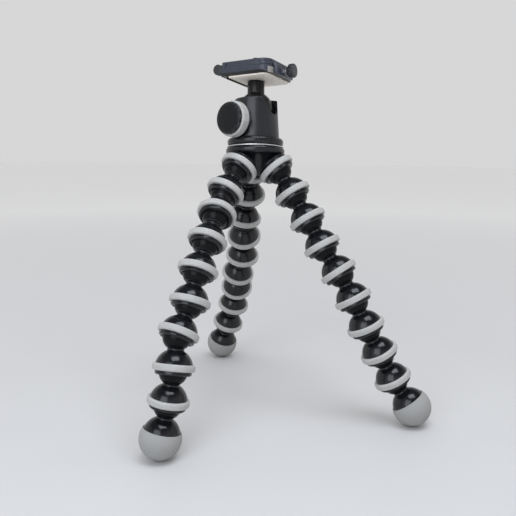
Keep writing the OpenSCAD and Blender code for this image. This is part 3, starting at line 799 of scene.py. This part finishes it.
@dataclass
class Leg:
    """One leg: eight links with their grip rings, and the foot."""

    side: Side
    parts: LegParts
    links: int = 8
    turn_step: float = 137.5

    def pivots(self) -> list[Vector]:
        """The ball centres down the leg, then the centre of the foot.

        Returns:
            The points, in metres.
        """
        name = self.side.value
        points = [joint_point(f"{name}_link_{i}_bend") for i in range(1, self.links + 1)]
        low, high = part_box(f"{name}_foot_cup")
        foot = Vector(((low.x + high.x) / 2, (low.y + high.y) / 2, low.z + self.parts.foot_r * MM))
        return [*points, joint_point(f"{name}_foot_bend"), foot]

    def build(self) -> None:
        """Puts the leg's pieces in place, each turned a little further about its own axis."""
        parts = self.parts
        points = self.pivots()
        down = Matrix.Translation((0, 0, parts.pitch * MM))
        blacks = [LEG_GLOSS, BALL_BLACK]
        for i, (start, end) in enumerate(zip(points, points[1:]), 1):
            spin = Matrix.Rotation(math.radians(self.turn_step * i), 4, "Z")
            at = place_at(start, end - start, Vector((1, 0, 0))) @ spin
            if i <= self.links:
                body = f"{self.side.value}_link_{i}"
                put(f"{body}_shell", parts.link, at, body, blacks, [body])
                put(f"{body}_ring", parts.ring, at @ down, body, [RING_RUBBER], [body])
                continue
            body = f"{self.side.value}_foot"
            put(f"{body}_shell", parts.foot_link, at, body, blacks, [f"{body}_link"])
            put(f"{body}_rubber", parts.foot_cup, at @ down, body, [FOOT_RUBBER],
                [f"{body}_cup"])


@dataclass
class Hub:
    """The hub that holds the three legs: core, socket rings, collar and the bright washer."""

    parts: LegParts
    slant: float = 40.0
    stud_r: float = 4.85
    collar: Place = (21.8, 12.5, 17.8)
    collar_edge: float = 2.3
    washer: Place = (21.0, 17.8, 18.5)
    washer_edge: float = 0.12
    hole_edge: float = 0.1
    bead_r: float = 0.7
    bead_back: float = 2.6
    bead_proud: float = 0.3

    def frame_at(self) -> Matrix:
        """The hub's frame, with Z up the head's axis."""
        return place_at(joint_point("head_pan"), joint_axis("head_pan"), Vector((1, 0, 0)))

    def disc(self, name: str, size: Place, edge: float) -> Mesh:
        """A round disc with a hole for the stud.

        Args:
            name: Name of the mesh.
            size: Radius, lower and upper height.
            edge: Rounding of its outer edges.

        Returns:
            The mesh.
        """
        r, low, high = size
        hole, ease = self.stud_r, self.hole_edge
        corners = [(hole, low, ease), (r, low, edge), (r, high, edge), (hole, high, ease)]
        return lathed(name, corners, 96, 8)

    def bead_mesh(self) -> Mesh:
        """The rounded step where a socket's dome leaves the core, about the socket's centre.

        Returns:
            The mesh.
        """
        parts = self.parts
        height = -parts.ring_rise - parts.ring_w / 2 - self.bead_back
        dome = math.sqrt(parts.dome_r**2 - (height + parts.dome_rise) ** 2)
        outline = arc((dome - self.bead_r + self.bead_proud, height), self.bead_r, 0, 360, 16)
        return turned("hub_bead", [Band(outline)], closed=True)

    def socket_frame(self, side: Side) -> Matrix:
        """The frame of one leg's socket, with Z out of its mouth.

        Args:
            side: The leg.

        Returns:
            The frame.
        """
        up = joint_axis("head_pan")
        centre = joint_point(f"{side.value}_link_1_bend")
        out = centre - joint_point("head_pan")
        out = (out - up * out.dot(up)).normalized()
        tilt = math.radians(self.slant)
        return place_at(centre, out * math.sin(tilt) - up * math.cos(tilt), out)

    def build(self) -> None:
        """Puts the hub's pieces in place."""
        at = self.frame_at()
        collar = self.disc("hub_collar", self.collar, self.collar_edge)
        washer = self.disc("pan_washer", self.washer, self.washer_edge)
        bead = self.bead_mesh()
        put("hub_collar_ring", collar, at, "hub", [HUB_GLOSS], ["hub_collar"])
        put("washer_ring", washer, at, "hub", [BRIGHT_RING], ["pan_washer"])
        for side in Side:
            at = self.socket_frame(side)
            put(f"hub_bead_{side.value}", bead, at, "hub", [HUB_GLOSS])
            put(f"hub_ring_{side.value}", self.parts.ring, at, "hub",
                [RING_RUBBER], ["hub_rings"])
        dress("hub_core", HUB_GLOSS)
        dress("head_stud", STEEL)


@dataclass
class Head:
    """The ball head: turning base, housing with its notch, ball seat and lock knob."""

    base: Place = (20.8, 18.6, 24.6)
    base_edge: float = 2.6
    knob_reach: float = 21.1
    grip_r: float = 12.8
    grip_w: float = 6.95
    grip_ribs: int = 96
    grip_relief: float = 0.14
    cap_r: float = 11.5
    cap_proud: float = 2.55
    cap_dome: float = 0.45
    spigot_r: float = 9.4
    knob_edge: float = 1.2
    shoulder: Point = (15.8, 53.0)
    shoulder_ease: float = 0.9
    shell_ease: float = 0.35
    screw_r: float = 3.05
    seat_gap: float = 0.05
    line_in: float = 1.8
    line_half: float = 0.2

    def on_shoulder(self, at: Matrix, point: Vector) -> bool:
        """Whether a point lies on the housing's shoulder line.

        Args:
            at: The hub's frame.
            point: The point, in the shared frame.

        Returns:
            True on the line.
        """
        here = at.inverted() @ point / MM
        off = Vector((math.hypot(here.x, here.y), here.z)) - Vector(self.shoulder)
        return off.length < 0.05

    def knob_frame(self) -> Matrix:
        """The lock knob's frame, with Z out along its axis."""
        return place_at(joint_point("lock_knob_turn"), joint_axis("lock_knob_turn"), Vector((0, 0, 1)))

    def cap_mesh(self) -> Mesh:
        """The knob's cap: a spigot, a low dome with a rounded edge, and a fine line round it.

        Returns:
            The mesh.
        """
        low = self.knob_reach
        seat = low + self.grip_w + self.seat_gap
        face = seat + self.cap_proud
        rim = face - self.cap_dome
        line_r = self.cap_r - self.line_in
        return lathed("lock_knob_cap", [
            (self.screw_r, low, 0),
            (self.spigot_r, low, 0.2),
            (self.spigot_r, seat, 0.1),
            (self.cap_r, seat, 0.3),
            (self.cap_r, rim, self.knob_edge),
            (line_r + self.line_half, rim + 0.05, 0.2),
            (line_r, rim - 0.1, 0.2),
            (line_r - self.line_half, rim + 0.1, 0.2),
            (self.cap_r / 2, face - 0.1, 4.0),
            (0.0, face, 0),
        ], 96, 6, closed=False)

    def grip_mesh(self) -> Mesh:
        """The knob's rubber grip ring, with fine ribs round its outside.

        Returns:
            The mesh.
        """
        low, high = self.knob_reach, self.knob_reach + self.grip_w
        hole = self.spigot_r + self.seat_gap
        mesh = lathed("lock_knob_grip", [
            (hole, low, 0.1),
            (self.grip_r, low, self.knob_edge),
            (self.grip_r, high, self.knob_edge),
            (hole, high, 0.1),
        ], self.grip_ribs * 4)
        for vert in mesh.vertices:
            r = math.hypot(vert.co.x, vert.co.y)
            turn = math.atan2(vert.co.y, vert.co.x)
            shown = max(0.0, (r / MM - self.grip_r + 1.0))
            dip = self.grip_relief * MM * shown * (0.5 - 0.5 * math.cos(turn * self.grip_ribs))
            vert.co.x *= 1 - dip / r
            vert.co.y *= 1 - dip / r
        return mesh

    def build(self, hub: Hub) -> None:
        """Puts the head's pieces in place.

        Args:
            hub: The hub that carries the head.
        """
        at = hub.frame_at()
        base = hub.disc("pan_base", self.base, self.base_edge)
        shell = eased_copy("head_housing", self.shell_ease, 2, lambda v: self.on_shoulder(at, v),
                           self.shoulder_ease)
        knob_at = self.knob_frame()
        put("pan_base_disc", base, at, "head", [BASE_BLACK], ["pan_base"])
        put("head_shell", shell, HERE, "head", [HEAD_PAINT], ["head_housing"])
        put("lock_knob_face", self.cap_mesh(), knob_at, "lock_knob", [KNOB_CAP],
            ["lock_knob_cap"])
        put("lock_knob_rubber", self.grip_mesh(), knob_at, "lock_knob", [KNOB_GRIP],
            ["lock_knob_grip"])
        dress("ball_cup", SEAT_PLASTIC)
        dress("disc_spring", STEEL)
        dress("lock_screw", STEEL)


@dataclass
class Clamp:
    """The camera clamp on the ball's stem, with its spirit level, jaw and thumb knob."""

    ball_r: float = 13.0
    stem_r: float = 6.3
    stem_top: float = 21.0
    neck_flare: float = 0.5
    neck_ease: float = 0.9
    seat_gap: float = 0.05
    spigot_r: float = 4.2
    base_z: float = 22.2
    level_at: Place = (-21.0, -4.0, 27.4)
    vial_r: float = 2.8
    vial_len: float = 28.0
    line_gap: float = 7.0
    line_half: float = 0.2
    line_proud: float = 0.03
    line_sunk: float = 0.07
    line_ease: float = 0.02
    bubble: Point = (1.15, 2.6)
    bubble_rise: float = 1.4
    edge: float = 0.45
    thin_edge: float = 0.2
    jaw_edge: float = 0.35
    thumb_edge: float = 0.15
    # Faces that look further down than this turn black, as painted shade.
    shade_below: float = -0.4
    bare_from: float = -12.5
    # Low side faces that face the thumb knob more than this, and lie below the next height, take the paler
    # patch.
    pale_side: float = 0.75
    pale_top: float = 26.4

    def frame_at(self) -> Matrix:
        """The clamp's frame: ball centre, Z up the stem and X towards the thumb knob."""
        return place_at(joint_point("head_tilt"), joint_axis("head_pan"), joint_axis("jaw_knob_turn"))

    def stem_mesh(self) -> Mesh:
        """The ball and stem, turned in one piece.

        Returns:
            The mesh.
        """
        meet = math.degrees(math.acos((self.stem_r + self.neck_flare) / self.ball_r))
        shoulder, top = self.stem_top - self.seat_gap, self.base_z - self.seat_gap
        ball = arc((0, 0), self.ball_r, -90, meet, 30)
        stem = softened([
            ball[-1] + (0,),
            (self.stem_r, ball[-1][1] + self.neck_ease, self.neck_ease),
            (self.stem_r, shoulder, 0.3),
            (self.spigot_r, shoulder, 0.1),
            (self.spigot_r, top, 0.1),
            (0.0, top, 0),
        ], steps=4)
        return turned("ball_stem", [Band(ball), Band(stem)], 80)

    def vial_mesh(self) -> Mesh:
        """The level's vial, a rounded tube.

        Returns:
            The mesh.
        """
        half, r = self.vial_len / 2, self.vial_r
        corners = [(0, -half, 0), (r, -half, 0.6), (r, half, 0.6), (0, half, 0)]
        return lathed("level_vial", corners, 48, closed=False)

    def bubble_mesh(self, steps: int = 16) -> Mesh:
        """The bubble in the vial, long and flat on top.

        Args:
            steps: Number of steps from end to end.

        Returns:
            The mesh.
        """
        r, half = self.bubble
        turns = [math.pi * k / steps for k in range(1, steps)]
        side = [(r * math.sin(turn), -half * math.cos(turn)) for turn in turns]
        return turned("level_bubble", [Band([(0.0, -half), *side, (0.0, half)])], 32)

    def line_mesh(self) -> Mesh:
        """A thin black line round the vial.

        Returns:
            The mesh.
        """
        half, ease = self.line_half, self.line_ease
        outer, inner = self.vial_r + self.line_proud, self.vial_r - self.line_sunk
        corners = [(inner, -half, ease), (outer, -half, ease), (outer, half, ease), (inner, half, ease)]
        return lathed("level_line", corners, 48)

    def build(self) -> None:
        """Puts the clamp's pieces in place."""
        at = self.frame_at()
        put("ball_and_stem", self.stem_mesh(), at, "clamp", [STEM_SATIN], ["ball_stem"])
        up = joint_axis("head_pan")
        side = joint_axis("jaw_knob_turn")
        back = at.inverted()

        def body_tone(middle: Vector, normal: Vector) -> int:
            """Black on the faces that look down, as painted shade; paler on the low side faces towards the
            thumb knob; clamp paint elsewhere.
            """
            if normal.dot(up) < self.shade_below:
                return 1
            low = (back @ middle).z < self.pale_top * MM
            return 2 if low and normal.dot(side) > self.pale_side else 0

        body = split(eased_copy("clamp_base", self.edge), at @ Vector((0, 0, self.pale_top * MM)), up)
        put("clamp_body", toned(body, body_tone), HERE, "clamp",
            [CLAMP_PAINT, CLAMP_SHADE_BLACK, PALE_SIDE], ["clamp_base"])
        skin = eased_copy("clamp_underplate", self.thin_edge)
        skin = split(skin, at @ Vector((self.bare_from * MM, 0, 0)), side)
        skin = toned(skin, lambda middle, _: int((back @ middle).x < self.bare_from * MM))
        put("clamp_under_skin", skin, HERE, "clamp",
            [UNDERPLATE, UNDER_BLACK], ["clamp_underplate"])
        put("level_end_caps", eased_copy("level_caps", self.thin_edge), HERE, "clamp",
            [LEVEL_BLACK], ["level_caps"])
        level = at @ Matrix.Translation(Vector(self.level_at) * MM) @ Matrix.Rotation(math.pi / 2, 4, "X")
        put("level_tube", self.vial_mesh(), level, "clamp", [VIAL_TINT], ["level_vial"])
        rise = Matrix.Translation((0, self.bubble_rise * MM, 0))
        put("level_bubble", self.bubble_mesh(), level @ rise, "clamp", [VIAL_TINT])
        line = self.line_mesh()
        for i, way in enumerate((-1, 1), 1):
            shift = Matrix.Translation((0, 0, way * self.line_gap / 2 * MM))
            put(f"level_line_{i}", line, level @ shift, "clamp", [LEVEL_BLACK])
        put("jaw_block", eased_copy("moving_jaw", self.jaw_edge), HERE, "moving_jaw",
            [CLAMP_PAINT], ["moving_jaw"])
        put("thumb_knob", eased_copy("jaw_knob", self.thumb_edge), HERE, "jaw_knob",
            [LEVEL_BLACK], ["jaw_knob"])
        dress("clamp_bolt", STEEL)
        dress("jaw_screw", STEEL)


@dataclass
class CameraPlate:
    """The camera plate, its ribbed pad and the threaded camera screw."""

    screw_r: float = 3.175
    core_r: float = 2.4
    pitch: float = 1.27
    thread_depth: float = 0.55
    thread_foot: float = 33.25
    thread_rows: int = 10
    run_out: Point = (1.2, 3.0)
    core_foot: float = 0.3
    core_top: float = 0.4
    screw_ease: float = 0.12
    screw_top: float = 37.85
    steps: int = 48
    plate_ease: float = 0.7
    pad_ease: float = 0.15
    pad_top: float = 32.85
    pad_half: float = 19.0
    pad_left: float = -15.3
    pad_corner: float = 5.0
    rib_pitch: float = 1.5
    rib_w: float = 0.8
    rib_h: float = 0.35
    rib_inset: float = 0.7
    hole_r: float = 4.2

    def thread_mesh(self) -> Mesh:
        """The screw's thread above the pad, as one winding ridge.

        Returns:
            The mesh.
        """
        mesh = bmesh.new()
        layer = mesh.verts.layers.float.new("wear")
        height = self.screw_top - self.thread_foot
        rows = int(height / self.pitch * self.thread_rows)
        grid = []
        for j in range(rows + 1):
            z = self.thread_foot + height * j / rows
            ends = (self.screw_top - z, z - self.thread_foot)
            lead = min(1.0, *(far / self.pitch * steep for far, steep in zip(ends, self.run_out)))
            row = []
            for k in range(self.steps):
                turn = 2 * math.pi * k / self.steps
                ridge = abs(2 * ((z / self.pitch - k / self.steps) % 1) - 1)
                r = self.screw_r - self.thread_depth * max(1 - ridge, 1 - lead)
                vert = mesh.verts.new((r * math.cos(turn) * MM, r * math.sin(turn) * MM, z * MM))
                vert[layer] = ridge
                row.append(vert)
            grid.append(row)
        for low, high in zip(grid, grid[1:]):
            for k in range(self.steps):
                n = (k + 1) % self.steps
                mesh.faces.new((low[k], low[n], high[n], high[k])).smooth = True
        mesh.faces.new(list(reversed(grid[0])))
        mesh.faces.new(grid[-1])
        return finished_mesh("camera_thread", mesh, 50)

    def screw_mesh(self, at: Matrix) -> Mesh:
        """The screw's slotted head and neck, drawn in to a core where the thread covers it.

        Args:
            at: The clamp's frame.

        Returns:
            The mesh, in the shared frame.
        """
        data = eased_copy("camera_screw", self.screw_ease)
        back = at.inverted()
        for vert in data.vertices:
            here = back @ vert.co
            if here.z / MM > self.thread_foot - self.core_foot:
                r = math.hypot(here.x, here.y)
                shrink = min(1.0, self.core_r * MM / r)
                height = min(here.z, (self.screw_top - self.core_top) * MM)
                vert.co = at @ Vector((here.x * shrink, here.y * shrink, height))
        return data

    def pad_mesh(self, at: Matrix) -> Mesh:
        """The pad's sheet, with its top lowered to the foot of the ribs.

        Args:
            at: The clamp's frame.

        Returns:
            The mesh, in the shared frame.
        """
        data = eased_copy("plate_pad", self.pad_ease)
        back = at.inverted()
        top = (self.pad_top - self.rib_h) * MM
        for vert in data.vertices:
            here = back @ vert.co
            if here.z > top:
                vert.co = at @ Vector((here.x, here.y, here.z - self.rib_h * MM))
        return data

    def rib_runs(self, x: float) -> list[Point]:
        """Where the ribs at one place across the pad start and end along it.

        Args:
            x: Place across the pad, in millimetres.

        Returns:
            The start and end of each rib.
        """
        half = self.pad_half - self.rib_inset
        past = x - (half - self.pad_corner)
        end = half
        if past > 0:
            end = half - self.pad_corner + math.sqrt(max(0.0, self.pad_corner**2 - past**2))
        if abs(x) >= self.hole_r:
            return [(-end, end)]
        hole = math.sqrt(self.hole_r**2 - x**2)
        return [(-end, -hole), (hole, end)]

    def ribs_mesh(self) -> Mesh:
        """The pad's rounded ribs, side by side along the plate's channel.

        Returns:
            The mesh.
        """
        mesh = bmesh.new()
        mesh.verts.layers.float.new("wear")
        sunk, ramp = 0.05, 0.3
        foot = self.pad_top - self.rib_h - sunk
        turns = [math.pi * k / 6 for k in range(7)]
        section = [(-math.cos(t) * self.rib_w / 2, math.sin(t) * (self.rib_h + sunk)) for t in turns]
        half = self.pad_half - self.rib_inset
        first = math.ceil((self.pad_left + self.rib_inset) / self.rib_pitch)
        last = int(half / self.rib_pitch)
        for i in range(first, last + 1):
            x = i * self.rib_pitch
            for start, end in self.rib_runs(x):
                rows = []
                for y, share in ((start, 0.0), (start + ramp, 1.0), (end - ramp, 1.0), (end, 0.0)):
                    line = [Vector((x + dx, y, foot + dz * share)) * MM for dx, dz in section]
                    rows.append([mesh.verts.new(point) for point in line])
                for low, high in zip(rows, rows[1:]):
                    for a, b, c, d in zip(low, low[1:], high[1:], high):
                        mesh.faces.new((a, d, c, b)).smooth = True
                    mesh.faces.new((low[0], low[-1], high[-1], high[0]))
        return finished_mesh("plate_ribs", mesh, 60)

    def build(self, clamp: Clamp) -> None:
        """Puts the plate's pieces in place.

        Args:
            clamp: The clamp that holds the plate.
        """
        at = clamp.frame_at()
        body = eased_copy("camera_plate", self.plate_ease, 4)
        put("plate_body", body, HERE, "camera_plate", [CLAMP_PAINT], ["camera_plate"])
        put("plate_rubber", self.pad_mesh(at), HERE, "camera_plate",
            [PAD_RUBBER], ["plate_pad"])
        put("plate_ribs", self.ribs_mesh(), at, "camera_plate", [PAD_RUBBER], ["plate_pad"])
        put("camera_screw_core", self.screw_mesh(at), HERE, "camera_screw",
            [DARK_STEEL], ["camera_screw"])
        put("camera_thread", self.thread_mesh(), at, "camera_screw",
            [DARK_STEEL], ["camera_screw"])


@dataclass
class Studio:
    """Floor, light and camera."""

    floor_r: float = 8.0
    near_floor: Colour = (0.6, 0.6, 0.602)
    far_floor: Colour = (0.95, 0.95, 0.953)
    floor_fade: Point = (0.25, 1.7)
    mottle_size: float = 60.0
    mottle: float = 0.985
    floor_gloss: float = 0.6
    walls: float = 0.676
    wall_top: Point = (0.35, 0.75)
    front: Point = (-0.5, 0.4)
    front_share: float = 0.24
    ceiling: float = 0.14
    daylight: Colour = (0.86, 0.91, 1.0)
    panel_power: float = 6.5
    panel_size: Point = (0.76, 0.5)
    panel_at: Place = (0.14, -0.34, 1.15)
    window_power: float = 4.6
    window_size: Point = (0.7, 0.8)
    window_at: Place = (-0.4, -0.9, 0.5)
    aim_height: float = 0.12
    fill_power: float = 1.6
    fill_angle: float = 140.0
    camera_at: Place = (-0.0245, -0.5046, 0.1993)
    camera_pitch: float = 9.5
    camera_yaw: float = 0.19
    camera_roll: float = 0.61
    focal_pixels: float = 653.0
    image_pixels: float = 516.0
    sensor: float = 36.0

    def floor(self) -> None:
        """A wide plain floor with a faint mottle, paler far away where less light falls on it."""
        mesh = bmesh.new()
        bmesh.ops.create_circle(mesh, cap_ends=True, segments=96, radius=self.floor_r)
        data = finished_mesh("floor", mesh)
        paint = Paint("floor_pale")
        dull = tuple(part * self.mottle for part in self.near_floor)
        near = paint.blend(paint.clouds(self.mottle_size, 4), self.near_floor, dull)
        fade = paint.spread(paint.reach(), 0.0, 1.0, self.floor_fade)
        paint.show({"Base Color": paint.blend(fade, near, self.far_floor), "Roughness": self.floor_gloss})
        data.materials.append(paint.material)
        added("floor", data)

    def surroundings(self) -> None:
        """Pale walls under a dim ceiling, which light the object less from the front than from behind."""
        world = bpy.data.worlds.new("room")
        bpy.context.scene.world = world
        sheet = Sheet(world)
        toward = sheet.node("TexCoord", "Generated", {})
        up, away = (sheet.node("SeparateXYZ", axis, {"Vector": toward}) for axis in ("Z", "Y"))
        height = sheet.spread(up, self.walls, self.ceiling, self.wall_top, "SMOOTHSTEP")
        depth = sheet.spread(away, self.front_share, 1.0, self.front, "SMOOTHSTEP")
        lit, seen = (
            sheet.node("Background", "Background", {"Color": (1.0, 1.0, 1.0), "Strength": strength})
            for strength in (sheet.combine("MULTIPLY", height, depth), height)
        )
        rays = ("Is Camera Ray", "Is Glossy Ray", "Is Transmission Ray")
        view, gloss, glass = (sheet.node("LightPath", ray, {}) for ray in rays)
        shown = sheet.combine("MAXIMUM", sheet.combine("MAXIMUM", view, gloss), glass)
        room = sheet.node("MixShader", "Shader", {"Fac": shown, 1: lit, 2: seen})
        sheet.join(room, sheet.tree.nodes["World Output"].inputs["Surface"])

    def soft_box(self, name: str, power: float, size: Point, place: Place) -> None:
        """A soft rectangular light that faces the object.

        Args:
            name: Name of the light.
            power: Its power, in watts.
            size: Its width and height, in metres.
            place: Its place, in metres.
        """
        light = bpy.data.lights.new(name, "AREA")
        light.shape = "RECTANGLE"
        light.size, light.size_y = size
        light.energy = power
        light.color = self.daylight
        lamp = added(name, light)
        lamp.location = place
        aim = Vector((0, 0, self.aim_height)) - lamp.location
        lamp.rotation_euler = aim.to_track_quat("-Z", "Y").to_euler()

    def fill(self) -> None:
        """A soft light from overhead that reaches the whole floor and leaves no highlight."""
        light = bpy.data.lights.new("overhead_fill", "SUN")
        light.energy = self.fill_power
        light.angle = math.radians(self.fill_angle)
        lamp = added("overhead_fill", light)
        lamp.location = (0, 0, self.panel_at[2])
        lamp.visible_glossy = False

    def camera(self) -> None:
        """The camera where the photograph was taken from."""
        data = bpy.data.cameras.new("camera")
        data.sensor_width = self.sensor
        data.lens = self.sensor * self.focal_pixels / self.image_pixels
        camera = added("camera", data)
        yaw = Matrix.Rotation(math.radians(self.camera_yaw), 4, "Z")
        pitch = Matrix.Rotation(math.radians(90 - self.camera_pitch), 4, "X")
        roll = Matrix.Rotation(math.radians(self.camera_roll), 4, "Z")
        camera.matrix_world = Matrix.Translation(self.camera_at) @ yaw @ pitch @ roll
        bpy.context.scene.camera = camera

    def build(self) -> None:
        """Sets the stage."""
        self.floor()
        self.surroundings()
        self.soft_box("ceiling_panel", self.panel_power, self.panel_size, self.panel_at)
        self.soft_box("window", self.window_power, self.window_size, self.window_at)
        self.fill()
        self.camera()
        bpy.context.scene.view_settings.view_transform = "Standard"


def main() -> None:
    """Builds the sub-assemblies in order, then the stage."""
    logging.basicConfig(level=logging.INFO, format="%(name)s: %(message)s")
    parts = LegParts()
    for side in Side:
        Leg(side, parts).build()
    hub = Hub(parts)
    hub.build()
    Head().build(hub)
    clamp = Clamp()
    clamp.build()
    CameraPlate().build(clamp)
    Studio().build()


if __name__ == "__main__":
    main()
